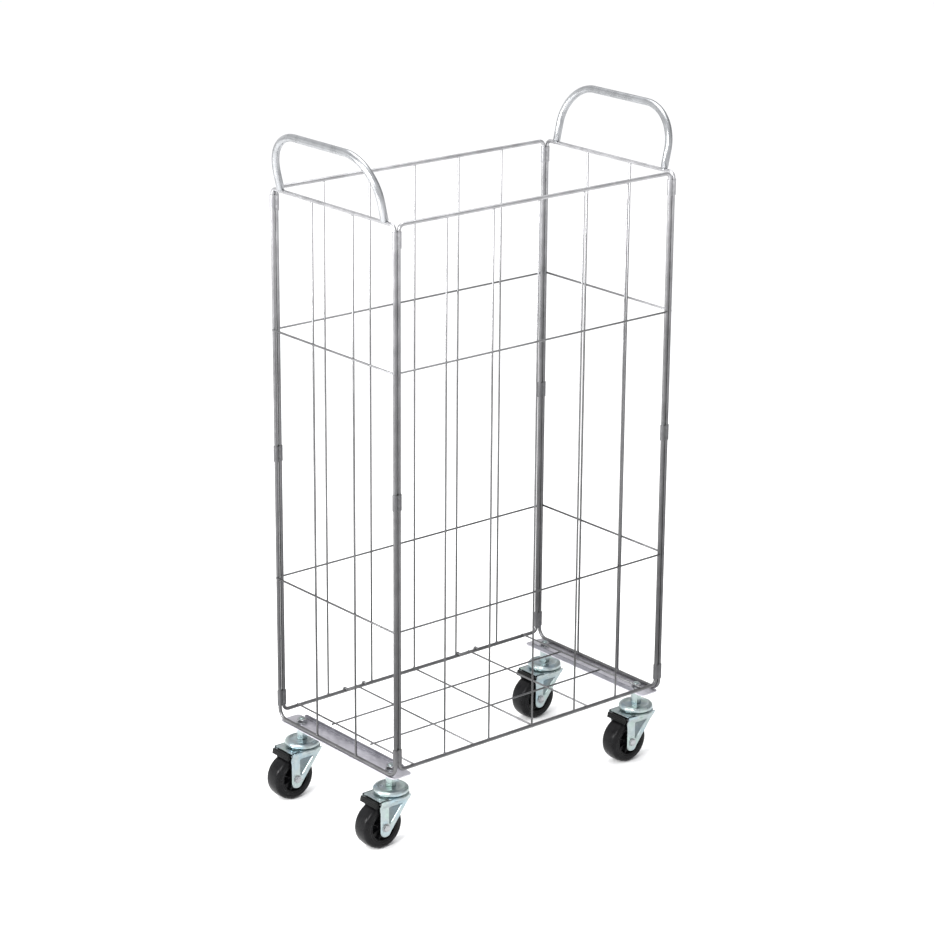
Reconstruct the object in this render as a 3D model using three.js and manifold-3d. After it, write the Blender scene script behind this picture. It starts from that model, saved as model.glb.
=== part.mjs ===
// Slim wire roll cart: a welded wire cage on two pressed base plates and four braked swivel casters.
// Millimetres, +Z up, origin on the floor under the middle of the overall box.
// -Y is the front, -X is the left.
import * as THREE from 'three';
import { mergeVertices } from 'three/addons/utils/BufferGeometryUtils.js';
import Module from 'manifold-3d';

const wasm = await Module();
wasm.setup();

// ---- cage ----
const PANEL_LENGTH = 720;      // post centre to post centre, front and back panels
const CAGE_DEPTH = 400;        // front panel plane to back panel plane
const PANEL_HEIGHT = 1150;     // bottom rail centre to top rail centre
const RAIL_Z = 182;            // height of the panels' bottom rail centre above the floor
const ROD_R = 4;               // perimeter rod
const PANEL_WIRE_R = 2;        // infill wire of the panels and the floor grid
const SIDE_WIRE_R = 2.25;      // infill wire of the side frames
const WIRE_OFFSET = 3;         // how far a crossing wire sits outside the wires that it is welded to
const SIDE_INSET = 10;         // from a panel's post to the side frame beside it
const TOP_BEND_R = 12;         // corner bends, to the rod's centre
const SIDE_FOOT_BEND_R = 22;   // lower corner bends of the side frames
const SIDE_RAIL_DROP = 14;     // side bottom rail below the panels' bottom rails
const CROSS_WIRE_HEIGHTS = [306, 852];   // above the panels' bottom rail
const PANEL_BAYS = 6;
const SIDE_BAYS = 3;

// ---- corner clips ----
const CLIP_HEIGHT = 34;
const CLIP_THICKNESS = 1.4;
const FIT_GAP = 0.3;
const CLIP_LEVELS = { bottom: 30, middle: 583, top: 1120 };   // clip centres above the panels' bottom rail

// ---- handles ----
const HANDLE_R = 8.25;
const HANDLE_LEG_INSET = 30;   // from the post to the leg, along the side
const HANDLE_LEAN = 13;        // degrees, outwards over the cart's end
const HANDLE_RISE = 130;       // rail centre to tube centre, along the lean
const HANDLE_BEND_R = 88;

// ---- base plates ----
const PLATE_THICKNESS = 3.2;
const PLATE_WIDTH = 52;
const PLATE_END_GAP = 3;       // from the panel's plane to the plate's end
const PLATE_CORNER_R = 10;
const FLANGE_THICKNESS = 3;
const FLANGE_HEIGHT = 11.5;    // flange edge above the plate's underside
const FLANGE_END_GAP = 28;

// ---- floor grid ----
const GRID_PITCH = 160;
const GRID_SHIFT = -7;         // keeps the grid's wires beside the panel wires when it lifts
const GRID_OVERHANG = 4;
const LONG_WIRE_DROP = 3.4;    // long wires below the cross wires
const HOOK_R = 6.7;            // hook centre line about the back rail
const HOOK_WIRE_R = 2.25;
const HOOK_HALF_SPACING = 26;
const HOOK_TAIL_ANGLE = -20;   // degrees from +Y towards +Z
const HOOK_BAR_ANGLE = 155;

// ---- casters: x runs from the stem's axis, z from the floor ----
const STEM_INSET_X = 24;       // from the side frame's plane
const STEM_INSET_Y = 46;       // from the panel's plane
const STEM_R = 6;
const STEM_TOP = 176;
const NUT_FLATS = 19;
const NUT_HEIGHT = 9;
const COLLAR_FLATS = 21;
const COLLAR_BOTTOM = 128.3;
const CAP_R = 38;
const CAP_TOP_R = 31;
const CAP_NECK_R = 36;
const CAP_BOTTOM = 115.7;
const CAP_NECK = 1;
const CAP_RIM = 4;
const CAP_SHOULDER = 5.5;
const RACE_R = 33;
const RACE_FOOT_R = 36;
const RACE_CHAMFER = 1;
const CROWN_TOP = 113.4;
const CROWN_BOTTOM = 104;
const CROWN_LENGTH = 80;
const CROWN_WIDTH = 76;
const CROWN_TAPER = 4;         // how much each side comes in towards the legs
const CROWN_EDGE = 7;          // height of the crown's straight edge
const SHELF_BACK = -50;        // the crown's flat shelf over the brake
const SHELF_WIDTH = 56;
const SHELF_THICKNESS = 2.4;
const TAB_SIZE = [3, 34, 22];  // the crown's turned-down front lip
const TAB_LEAN = 8;
const TAB_X = 33;
const TAB_Z = 101;
const WHEEL_R = 50;
const TREAD_CAMBER = 1;
const TYRE_WIDTH = 42;
const TYRE_SHOULDER = 7;
const TYRE_BORE_R = 34;
const HUB_WIDTH = 48;
const HUB_WEB = 24;
const HUB_BOSS = 6;            // boss wall at its end
const HUB_BOSS_FOOT = 8;       // boss wall where it meets the web
const HUB_RIM = 3;             // rim wall at the tyre's side
const HUB_RIM_FOOT = 5;
const TRAIL = 34;
const AXLE_R = 5;
const LEG_GAP = 50;            // clear width between the fork's legs
const LEG_THICKNESS = 3;
const LEG_END_R = 14;
const LEG_END_Z = 43;          // centre of the leg's round end, below the axle
const LEG_BACK = [[-50, 112], [-50, 98], [-48, 84]];
const LEG_FRONT = [[24, 96], [28, 112]];
const AXLE_HEAD_FLATS = 14;
const AXLE_HEAD = 5;
const PIN_R = 2.5;
const PIN_X = -46;
const PIN_Z = 105;
const PIN_END = 1;             // pin proud of each leg
const PEDAL_WIDTH = 44;
const PEDAL_ARM = [
  [-41.5, 109.5], [-41.5, 101.6], [-50, 101], [-55, 99.6], [-55, 104], [-50, 110],
];
const TOE_WIDTH = 56;
const TOE_PLATE = [
  [-51.8, 101.2], [-58, 98.2], [-60.5, 99.4], [-57.9, 111], [-54.7, 111],
];

// ---- how finely round things are faceted ----
const ROD_SIDES = 8;
const HANDLE_SIDES = 12;
const BORE_SIDES = 12;
const DISC_SIDES = 20;
const WHEEL_SIDES = 24;
const BEND_STEPS = 4;
const LONG_BEND_STEPS = 8;
const CORNER_STEPS = 5;
const WELD = 0.5;              // how far joined solids run into each other
const MERGE_DISTANCE = 1e-4;

const rad = THREE.MathUtils.degToRad;
const sideX = PANEL_LENGTH / 2 + SIDE_INSET;
const halfDepth = CAGE_DEPTH / 2;
const topZ = RAIL_Z + PANEL_HEIGHT;
const sideRailZ = RAIL_Z - SIDE_RAIL_DROP;
const plateTop = sideRailZ - ROD_R - FIT_GAP;
const plateBottom = plateTop - PLATE_THICKNESS;
const stemX = sideX - STEM_INSET_X;
const stemY = halfDepth - STEM_INSET_Y;
const lean = rad(HANDLE_LEAN);

// The overall box decides where the origin lies in plan.
const boxLeft = -stemX - TRAIL - WHEEL_R;
const boxRight = sideX + HANDLE_RISE * Math.sin(lean) + HANDLE_R * Math.cos(lean);
const boxFront = -halfDepth - ROD_R - FIT_GAP - CLIP_THICKNESS;
const boxBack = halfDepth + HOOK_R + HOOK_WIRE_R;

const cart = new THREE.Group();
cart.position.set(-(boxLeft + boxRight) / 2, -(boxFront + boxBack) / 2, 0);

// ---- materials ----
const finish = (color, roughness, metalness) => () =>
  new THREE.MeshStandardMaterial({ color, roughness, metalness });
const zincWire = finish(0x9a9b9d, 0.42, 0.9);
const brightZinc = finish(0xc4c6c8, 0.3, 0.9);
const galvanised = finish(0xb9b8bf, 0.45, 0.85);
const casterZinc = finish(0xa9b5b3, 0.32, 0.9);
const blackRubber = finish(0x121213, 0.35, 0);
const blackNylon = finish(0x18181a, 0.28, 0);
const blackPaint = finish(0x0f1110, 0.3, 0.1);

function add(parent, name, geometry, material) {
  const mesh = new THREE.Mesh(geometry, material());
  mesh.name = name;
  parent.add(mesh);
  return mesh;
}

// ---- solids ----
function solid(geometry) {
  const bare = geometry.index ? geometry.toNonIndexed() : geometry.clone();
  bare.deleteAttribute('normal');
  bare.deleteAttribute('uv');
  const merged = mergeVertices(bare, MERGE_DISTANCE);
  return new wasm.Manifold(new wasm.Mesh({
    numProp: 3,
    vertProperties: new Float32Array(merged.attributes.position.array),
    triVerts: new Uint32Array(merged.index.array),
  }));
}

function geometryOf(manifold) {
  const mesh = manifold.getMesh();
  const geometry = new THREE.BufferGeometry();
  geometry.setAttribute('position', new THREE.BufferAttribute(mesh.vertProperties, 3));
  geometry.setIndex(new THREE.BufferAttribute(mesh.triVerts, 1));
  return geometry;
}

function join(geometries) {
  let result = solid(geometries[0]);
  for (const geometry of geometries.slice(1)) {
    result = result.add(solid(geometry));
  }
  return geometryOf(result);
}

// ---- rods ----
const vec = (x, y, z) => new THREE.Vector3(x, y, z);

function circle(target, x, y, radius, sides) {
  const points = [];
  for (let i = 0; i < sides; i += 1) {
    const angle = (i / sides) * 2 * Math.PI;
    points.push(new THREE.Vector2(x + radius * Math.cos(angle), y + radius * Math.sin(angle)));
  }
  return target.setFromPoints(points);
}

const section = (radius, sides) => circle(new THREE.Shape(), 0, 0, radius, sides);
const hole = (x, y, radius) => circle(new THREE.Path(), x, y, radius, BORE_SIDES);

// A rod's centre line: straight runs joined by round bends, with stations only where it bends.
class BentPath extends THREE.Curve {
  constructor(corners, bendRadii, bendSteps) {
    super();
    this.points = [corners[0].clone()];
    this.tangents = [corners[1].clone().sub(corners[0]).normalize()];
    for (let i = 1; i < corners.length - 1; i += 1) {
      this.bend(corners[i - 1], corners[i], corners[i + 1], bendRadii[i - 1], bendSteps);
    }
    const last = corners.length - 1;
    this.points.push(corners[last].clone());
    this.tangents.push(corners[last].clone().sub(corners[last - 1]).normalize());
  }

  bend(before, corner, after, radius, steps) {
    const into = corner.clone().sub(before).normalize();
    const out = after.clone().sub(corner).normalize();
    const turn = into.angleTo(out);
    const reach = radius * Math.tan(turn / 2);
    const start = corner.clone().addScaledVector(into, -reach);
    const side = out.clone().addScaledVector(into, -out.dot(into)).normalize();
    for (let i = 0; i <= steps; i += 1) {
      const angle = (turn * i) / steps;
      const point = start.clone();
      point.addScaledVector(into, radius * Math.sin(angle));
      point.addScaledVector(side, radius * (1 - Math.cos(angle)));
      this.points.push(point);
      const tangent = into.clone().multiplyScalar(Math.cos(angle));
      this.tangents.push(tangent.addScaledVector(side, Math.sin(angle)).normalize());
    }
  }

  get steps() {
    return this.points.length - 1;
  }

  getPointAt(u) {
    return this.points[Math.round(u * this.steps)].clone();
  }

  getTangentAt(u) {
    return this.tangents[Math.round(u * this.steps)].clone();
  }
}

function bentRod(corners, bendRadii, radius, sides = ROD_SIDES, bendSteps = BEND_STEPS) {
  const path = new BentPath(corners, bendRadii, bendSteps);
  return new THREE.ExtrudeGeometry(section(radius, sides), { steps: path.steps, extrudePath: path });
}

function wire(from, to, radius) {
  const axis = to.clone().sub(from);
  const geometry = new THREE.CylinderGeometry(radius, radius, axis.length(), ROD_SIDES);
  const turn = new THREE.Quaternion().setFromUnitVectors(vec(0, 1, 0), axis.normalize());
  geometry.applyQuaternion(turn);
  const middle = from.clone().add(to).multiplyScalar(0.5);
  return geometry.translate(middle.x, middle.y, middle.z);
}

// A rectangular loop of rod, bent from two halves that are butt-welded in the middle of the rails.
// across(t) gives the point at t along the rails; z runs from low to high.
function rodLoop(across, halfSpan, low, high, lowBend, highBend) {
  return [1, -1].map((side) => bentRod([
    across(-side * WELD, low),
    across(side * halfSpan, low),
    across(side * halfSpan, high),
    across(-side * WELD, high),
  ], [lowBend, highBend], ROD_R));
}

// ---- cage panels ----
function panel(sign) {
  const y = sign * halfDepth;
  const half = PANEL_LENGTH / 2;
  const at = (x, z) => vec(x, y, z);
  const pieces = rodLoop(at, half, RAIL_Z, topZ, TOP_BEND_R, TOP_BEND_R);
  for (let i = 1; i < PANEL_BAYS; i += 1) {
    const x = -half + (i * PANEL_LENGTH) / PANEL_BAYS;
    pieces.push(wire(at(x, RAIL_Z), at(x, topZ), PANEL_WIRE_R));
  }
  for (const height of CROSS_WIRE_HEIGHTS) {
    const outside = y + sign * WIRE_OFFSET;
    const z = RAIL_Z + height;
    pieces.push(wire(vec(-half, outside, z), vec(half, outside, z), PANEL_WIRE_R));
  }
  return join(pieces);
}

function sideFrame(sign) {
  const x = sign * sideX;
  const at = (y, z) => vec(x, y, z);
  const pieces = rodLoop(at, halfDepth, sideRailZ, topZ, SIDE_FOOT_BEND_R, TOP_BEND_R);
  for (let i = 1; i < SIDE_BAYS; i += 1) {
    const y = -halfDepth + (i * CAGE_DEPTH) / SIDE_BAYS;
    pieces.push(wire(at(y, sideRailZ), at(y, topZ), SIDE_WIRE_R));
  }
  for (const height of CROSS_WIRE_HEIGHTS) {
    const outside = x + sign * WIRE_OFFSET;
    const z = RAIL_Z + height;
    pieces.push(wire(vec(outside, -halfDepth, z), vec(outside, halfDepth, z), SIDE_WIRE_R));
  }
  return join(pieces);
}

add(cart, 'front_panel', panel(-1), zincWire);
add(cart, 'back_panel', panel(1), zincWire);
add(cart, 'left_side_frame', sideFrame(-1), zincWire);
add(cart, 'right_side_frame', sideFrame(1), zincWire);

// ---- corner clips: a strap closed round both posts, on which the panels hinge ----
function stadium(target, halfLength, radius, segments) {
  const points = [];
  for (const side of [1, -1]) {
    for (let i = 0; i <= segments; i += 1) {
      const angle = rad(-90 + (180 * i) / segments);
      points.push(new THREE.Vector2(
        side * (halfLength + radius * Math.cos(angle)),
        side * radius * Math.sin(angle),
      ));
    }
  }
  target.setFromPoints(points);
  return target;
}

function clip() {
  const inner = ROD_R + FIT_GAP;
  const strap = stadium(new THREE.Shape(), SIDE_INSET / 2, inner + CLIP_THICKNESS, CORNER_STEPS);
  strap.holes.push(stadium(new THREE.Path(), SIDE_INSET / 2, inner, CORNER_STEPS));
  const geometry = new THREE.ExtrudeGeometry(strap, { depth: CLIP_HEIGHT, bevelEnabled: false });
  return geometry.translate(0, 0, -CLIP_HEIGHT / 2);
}

const corners = [
  { name: 'front_left', x: -1, y: -1 },
  { name: 'front_right', x: 1, y: -1 },
  { name: 'back_left', x: -1, y: 1 },
  { name: 'back_right', x: 1, y: 1 },
];

for (const corner of corners) {
  for (const [level, height] of Object.entries(CLIP_LEVELS)) {
    const mesh = add(cart, `clip_${corner.name}_${level}`, clip(), galvanised);
    mesh.position.set(corner.x * (sideX - SIDE_INSET / 2), corner.y * halfDepth, RAIL_Z + height);
  }
}

// ---- handles: square-cut legs welded on top of the side rails ----
function handle(sign) {
  const legY = halfDepth - HANDLE_LEG_INSET;
  const foot = ROD_R * Math.cos(lean) + FIT_GAP;
  const at = (y, reach) =>
    vec(sign * (sideX + reach * Math.sin(lean)), y, topZ + reach * Math.cos(lean));
  return bentRod([
    at(-legY, foot),
    at(-legY, HANDLE_RISE),
    at(legY, HANDLE_RISE),
    at(legY, foot),
  ], [HANDLE_BEND_R, HANDLE_BEND_R], HANDLE_R, HANDLE_SIDES, LONG_BEND_STEPS);
}

add(cart, 'left_handle', handle(-1), brightZinc);
add(cart, 'right_handle', handle(1), brightZinc);

// ---- base plates: flat outer half under the side rail, upturned flange on the inner edge ----
function basePlate(sign) {
  const outer = sideX + ROD_R;
  const inner = outer - PLATE_WIDTH;
  const end = halfDepth - PLATE_END_GAP;
  const r = PLATE_CORNER_R;
  const outline = new THREE.Shape();
  outline.moveTo(inner + r, -end);
  outline.absarc(outer - r, -end + r, r, rad(-90), 0, false);
  outline.absarc(outer - r, end - r, r, 0, rad(90), false);
  outline.absarc(inner + r, end - r, r, rad(90), rad(180), false);
  outline.absarc(inner + r, -end + r, r, rad(180), rad(270), false);
  outline.holes.push(hole(stemX, stemY, STEM_R + FIT_GAP), hole(stemX, -stemY, STEM_R + FIT_GAP));
  const sheet = new THREE.ExtrudeGeometry(outline, {
    depth: PLATE_THICKNESS,
    bevelEnabled: false,
    curveSegments: CORNER_STEPS,
  });
  sheet.translate(0, 0, plateBottom);
  const flange = new THREE.BoxGeometry(FLANGE_THICKNESS, 2 * (halfDepth - FLANGE_END_GAP), FLANGE_HEIGHT);
  flange.translate(inner + FLANGE_THICKNESS / 2, 0, plateBottom + FLANGE_HEIGHT / 2);
  const geometry = join([sheet, flange]);
  if (sign < 0) geometry.rotateZ(Math.PI);
  return geometry;
}

add(cart, 'left_base_plate', basePlate(-1), galvanised);
add(cart, 'right_base_plate', basePlate(1), galvanised);

// ---- floor grid: lies on the bottom rails and hinges on the back one ----
class RailHook extends THREE.Curve {
  constructor(x) {
    super();
    this.x = x;
  }

  angle(u) {
    return rad(HOOK_TAIL_ANGLE + (HOOK_BAR_ANGLE - HOOK_TAIL_ANGLE) * u);
  }

  getPointAt(u) {
    const angle = this.angle(u);
    return vec(this.x, halfDepth + HOOK_R * Math.cos(angle), RAIL_Z + HOOK_R * Math.sin(angle));
  }

  getTangentAt(u) {
    return vec(0, -Math.sin(this.angle(u)), Math.cos(this.angle(u)));
  }
}

function railHook(x) {
  const path = new RailHook(x);
  return new THREE.ExtrudeGeometry(section(HOOK_WIRE_R, ROD_SIDES), {
    steps: LONG_BEND_STEPS,
    extrudePath: path,
  });
}

function floorGrid() {
  const crossZ = RAIL_Z + ROD_R + FIT_GAP + PANEL_WIRE_R;
  const longZ = crossZ - LONG_WIRE_DROP;
  const barY = halfDepth + HOOK_R * Math.cos(rad(HOOK_BAR_ANGLE));
  const barZ = RAIL_Z + HOOK_R * Math.sin(rad(HOOK_BAR_ANGLE));
  const pieces = [];
  for (let i = -2; i <= 2; i += 1) {
    const x = GRID_SHIFT + i * GRID_PITCH;
    const back = halfDepth - ROD_R;
    pieces.push(wire(vec(x, -halfDepth - GRID_OVERHANG, crossZ), vec(x, back, crossZ), PANEL_WIRE_R));
  }
  for (const y of [-CAGE_DEPTH / 6, CAGE_DEPTH / 6]) {
    const reach = 2 * GRID_PITCH + GRID_OVERHANG;
    pieces.push(wire(vec(GRID_SHIFT - reach, y, longZ), vec(GRID_SHIFT + reach, y, longZ), PANEL_WIRE_R));
  }
  for (const side of [-1, 1]) {
    const x = GRID_SHIFT + side * GRID_PITCH;
    const reach = HOOK_HALF_SPACING;
    pieces.push(wire(vec(x - reach, barY, barZ), vec(x + reach, barY, barZ), HOOK_WIRE_R));
    pieces.push(railHook(x - reach));
    pieces.push(railHook(x + reach));
  }
  return join(pieces);
}

add(cart, 'floor_grid', floorGrid(), zincWire);

// ---- casters ----
// A ring or disc turned about the Z axis from [radius, height] points.
function turned(profile) {
  const points = profile.map(([radius, height]) => new THREE.Vector2(radius, height));
  return new THREE.LatheGeometry(points, DISC_SIDES).rotateX(Math.PI / 2);
}

function hexPrism(flats, height) {
  const geometry = new THREE.CylinderGeometry(flats / Math.sqrt(3), flats / Math.sqrt(3), height, 6);
  return geometry.rotateX(Math.PI / 2);
}

function shaft(radius, bottom, top) {
  const geometry = new THREE.CylinderGeometry(radius, radius, top - bottom, BORE_SIDES);
  return geometry.rotateX(Math.PI / 2).translate(0, 0, (top + bottom) / 2);
}

function stem() {
  const collarTop = plateBottom - FIT_GAP;
  const collar = hexPrism(COLLAR_FLATS, collarTop - COLLAR_BOTTOM);
  collar.translate(0, 0, (collarTop + COLLAR_BOTTOM) / 2);
  return join([shaft(STEM_R, COLLAR_BOTTOM, STEM_TOP), collar]);
}

function stemNut() {
  const bore = shaft(STEM_R + FIT_GAP, -NUT_HEIGHT, NUT_HEIGHT);
  const nut = solid(hexPrism(NUT_FLATS, NUT_HEIGHT)).subtract(solid(bore));
  return geometryOf(nut).translate(0, 0, plateTop + FIT_GAP + NUT_HEIGHT / 2);
}

function swivelCap() {
  const top = COLLAR_BOTTOM - FIT_GAP;
  return turned([
    [0, CAP_BOTTOM],
    [CAP_NECK_R, CAP_BOTTOM],
    [CAP_NECK_R, CAP_BOTTOM + CAP_NECK],
    [CAP_R, top - CAP_SHOULDER - CAP_RIM],
    [CAP_R, top - CAP_SHOULDER],
    [CAP_TOP_R, top],
    [0, top],
  ]);
}

function outlineOf(points) {
  return new THREE.Shape(points.map(([x, z]) => new THREE.Vector2(x, z)));
}

// A plate standing in the XZ plane, with its lower Y face at fromY.
function upright(outline, thickness, fromY) {
  const plate = new THREE.ExtrudeGeometry(outline, {
    depth: thickness,
    bevelEnabled: false,
    curveSegments: LONG_BEND_STEPS,
  });
  return plate.rotateX(Math.PI / 2).translate(0, fromY + thickness, 0);
}

function forkLeg(side) {
  const outline = outlineOf(LEG_BACK);
  outline.absarc(-TRAIL, LEG_END_Z, LEG_END_R, rad(180), rad(340), false);
  for (const [x, z] of LEG_FRONT) {
    outline.lineTo(x, z);
  }
  outline.holes.push(hole(-TRAIL, WHEEL_R, AXLE_R + FIT_GAP), hole(PIN_X, PIN_Z, PIN_R + FIT_GAP));
  const inner = (side * LEG_GAP) / 2;
  return upright(outline, LEG_THICKNESS, side > 0 ? inner : inner - LEG_THICKNESS);
}

// A stadium's ring of points at one height, for a loft between rings of equal count.
function stadiumRing(length, width, z) {
  const outline = stadium(new THREE.Shape(), (length - width) / 2, width / 2, LONG_BEND_STEPS);
  return outline.getPoints().map((point) => vec(point.x, point.y, z));
}

// A closed solid through rings of points, lowest first, each going round anticlockwise from above.
function loft(rings) {
  const count = rings[0].length;
  const points = rings.flat();
  const faces = [];
  for (let level = 0; level < rings.length - 1; level += 1) {
    for (let i = 0; i < count; i += 1) {
      const a = level * count + i;
      const b = level * count + ((i + 1) % count);
      faces.push(a, b, b + count, a, b + count, a + count);
    }
  }
  const top = (rings.length - 1) * count;
  for (let i = 1; i < count - 1; i += 1) {
    faces.push(0, i + 1, i, top, top + i, top + i + 1);
  }
  const geometry = new THREE.BufferGeometry().setFromPoints(points);
  return geometry.setIndex(faces);
}

function crown() {
  const foot = CROWN_WIDTH - 2 * CROWN_TAPER;
  return loft([
    stadiumRing(CROWN_LENGTH - 2 * CROWN_TAPER, foot, CROWN_BOTTOM),
    stadiumRing(CROWN_LENGTH, CROWN_WIDTH, CROWN_TOP - CROWN_EDGE),
    stadiumRing(CROWN_LENGTH, CROWN_WIDTH, CROWN_TOP),
  ]);
}

function fork() {
  const top = CAP_BOTTOM - FIT_GAP;
  const race = turned([
    [0, CROWN_TOP - WELD],
    [RACE_FOOT_R, CROWN_TOP - WELD],
    [RACE_R, top - RACE_CHAMFER],
    [RACE_R - RACE_CHAMFER, top],
    [0, top],
  ]);
  const tab = new THREE.BoxGeometry(...TAB_SIZE);
  tab.rotateY(rad(TAB_LEAN)).translate(TAB_X, 0, TAB_Z);
  const shelf = new THREE.BoxGeometry(-SHELF_BACK, SHELF_WIDTH, SHELF_THICKNESS);
  shelf.translate(SHELF_BACK / 2, 0, CROWN_TOP - SHELF_THICKNESS / 2);
  return join([crown(), race, shelf, tab, forkLeg(1), forkLeg(-1)]);
}

function axle() {
  const reach = LEG_GAP / 2 + LEG_THICKNESS + FIT_GAP;
  const corner = AXLE_HEAD_FLATS / Math.sqrt(3);
  const shank = new THREE.CylinderGeometry(AXLE_R, AXLE_R, 2 * reach + AXLE_HEAD, BORE_SIDES);
  const pieces = [shank];
  for (const side of [-1, 1]) {
    const head = new THREE.CylinderGeometry(corner, corner, AXLE_HEAD, 6);
    pieces.push(head.translate(0, side * (reach + AXLE_HEAD / 2), 0));
  }
  return join(pieces).translate(-TRAIL, 0, WHEEL_R);
}

// A ring turned about the wheel's axle from [radius, y] points on its +Y half, mirrored to the other.
function wheelRing(halfProfile) {
  const near = halfProfile.map(([radius, y]) => [radius, -y]);
  const far = halfProfile.slice().reverse();
  const closed = [...near, ...far, near[0]];
  const points = closed.map(([radius, y]) => new THREE.Vector2(radius, y));
  return new THREE.LatheGeometry(points, WHEEL_SIDES).translate(-TRAIL, 0, WHEEL_R);
}

function tyre() {
  const half = TYRE_WIDTH / 2;
  return wheelRing([
    [TYRE_BORE_R, half],
    [WHEEL_R - TYRE_SHOULDER, half],
    [WHEEL_R - TREAD_CAMBER, half - TYRE_SHOULDER + TREAD_CAMBER],
    [WHEEL_R, TREAD_CAMBER],
  ]);
}

function hub() {
  const rim = TYRE_BORE_R - FIT_GAP;
  const bore = AXLE_R + FIT_GAP;
  return wheelRing([
    [bore, HUB_WIDTH / 2],
    [bore + HUB_BOSS, HUB_WIDTH / 2],
    [bore + HUB_BOSS_FOOT, HUB_WEB / 2],
    [rim - HUB_RIM_FOOT, HUB_WEB / 2],
    [rim - HUB_RIM, TYRE_WIDTH / 2],
    [rim, TYRE_WIDTH / 2],
  ]);
}

// The pedal hangs on its pin behind the crown and hooks up into a toe plate over the tread.
function brakePedal() {
  const arm = outlineOf(PEDAL_ARM);
  arm.holes.push(hole(PIN_X, PIN_Z, PIN_R + FIT_GAP));
  const toe = outlineOf(TOE_PLATE);
  return join([
    upright(arm, PEDAL_WIDTH, -PEDAL_WIDTH / 2),
    upright(toe, TOE_WIDTH, -TOE_WIDTH / 2),
  ]);
}

function brakePin() {
  const length = LEG_GAP + 2 * (LEG_THICKNESS + PIN_END);
  const pin = new THREE.CylinderGeometry(PIN_R, PIN_R, length, BORE_SIDES);
  return pin.translate(PIN_X, 0, PIN_Z);
}

const casterPieces = [
  ['stem', stem, casterZinc],
  ['stem_nut', stemNut, brightZinc],
  ['swivel_cap', swivelCap, casterZinc],
  ['fork', fork, casterZinc],
  ['axle', axle, brightZinc],
  ['hub', hub, blackNylon],
  ['tyre', tyre, blackRubber],
  ['brake_pedal', brakePedal, blackPaint],
  ['brake_pin', brakePin, brightZinc],
];

for (const corner of corners) {
  const caster = new THREE.Group();
  caster.position.set(corner.x * stemX, corner.y * stemY, 0);
  cart.add(caster);
  for (const [piece, make, material] of casterPieces) {
    add(caster, `caster_${corner.name}_${piece}`, make(), material);
  }
}

export default cart;
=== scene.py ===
import math

import bmesh
import bpy
from mathutils import Matrix, Vector, noise


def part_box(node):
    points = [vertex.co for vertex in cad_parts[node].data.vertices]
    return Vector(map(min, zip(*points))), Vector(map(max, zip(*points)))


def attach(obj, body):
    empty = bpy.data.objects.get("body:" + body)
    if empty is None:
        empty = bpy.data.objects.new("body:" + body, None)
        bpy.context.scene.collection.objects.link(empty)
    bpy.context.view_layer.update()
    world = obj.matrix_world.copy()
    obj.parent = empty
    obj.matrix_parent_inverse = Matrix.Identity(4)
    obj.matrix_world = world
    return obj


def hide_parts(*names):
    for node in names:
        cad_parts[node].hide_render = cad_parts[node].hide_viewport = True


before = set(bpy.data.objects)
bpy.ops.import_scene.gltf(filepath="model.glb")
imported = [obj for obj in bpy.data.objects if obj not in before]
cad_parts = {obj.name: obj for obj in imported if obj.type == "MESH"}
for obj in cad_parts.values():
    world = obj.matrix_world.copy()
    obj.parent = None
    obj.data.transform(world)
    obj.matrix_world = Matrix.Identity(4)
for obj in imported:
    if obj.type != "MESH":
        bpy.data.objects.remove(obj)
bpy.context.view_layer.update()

MM = 0.001

# ---- sizes that the wire work and the pressings share with the frame ----
ROD_R = 4 * MM
PANEL_WIRE_R = 2 * MM
SIDE_WIRE_R = 2.25 * MM
WIRE_OFFSET = 3 * MM          # a crossing wire lies this far outside the wires it is welded to
SIDE_INSET = 10 * MM
TOP_BEND_R = 12 * MM
SIDE_FOOT_BEND_R = 22 * MM
CROSS_WIRE_HEIGHTS = (306 * MM, 852 * MM)
PANEL_BAYS = 6
SIDE_BAYS = 3
CLIP_THICKNESS = 1.4 * MM
CLIP_DIMPLE = 8.5 * MM        # from a clip's middle to each spot weld
FIT_GAP = 0.3 * MM
HANDLE_R = 8 * MM
HANDLE_HALF = 8.25 * MM       # from a leg's centre line to the handle's outermost edge
HANDLE_LEAN = math.radians(13)
HANDLE_RISE = 130 * MM        # rail centre to tube centre, along the lean
HANDLE_BEND_R = 88 * MM
PLATE_THICKNESS = 3.2 * MM
PLATE_CORNER_R = 10 * MM
FLANGE_THICKNESS = 3 * MM
FLANGE_END_GAP = 28 * MM
STEM_R = 6 * MM
THREAD_PITCH = 1.75 * MM
LEG_THICKNESS = 3 * MM
GRID_PITCH = 160 * MM
GRID_SHIFT = -7 * MM          # keeps the floor grid's wires beside the panels' wires when it lifts
GRID_OVERHANG = 4 * MM
LONG_WIRE_DROP = 3.4 * MM     # long floor wires below the cross wires
HOOK_R = 6.7 * MM             # hook centre line about the back rail
HOOK_WIRE_R = 2.25 * MM
HOOK_HALF_SPACING = 26 * MM
HOOK_START = -20              # degrees from +Y towards +Z
HOOK_SWEEP = 175
CROWN_LENGTH = 80 * MM
CROWN_WIDTH = 76 * MM
SHELF_BACK = -50 * MM         # the crown's flat shelf over the brake
SHELF_HALF = 28 * MM
SHELF_THICKNESS = 2.4         # mm, like the profiles that are turned
TAB_HALF_WIDTH = 17 * MM      # the crown's turned-down front lip
TAB_HALF_HEIGHT = 11 * MM
TAB_X = 33 * MM
TAB_Z = 101 * MM
TAB_LEAN = math.radians(8)
COLLAR_FLATS = 21             # widths across flats in mm
NUT_FLATS = 19
AXLE_HEAD_FLATS = 14
AXLE_R = 5
WASHER = 1.6                  # thickness of a plain washer in mm
RIBS = 8
TOE_RIDGES = 3

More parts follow.
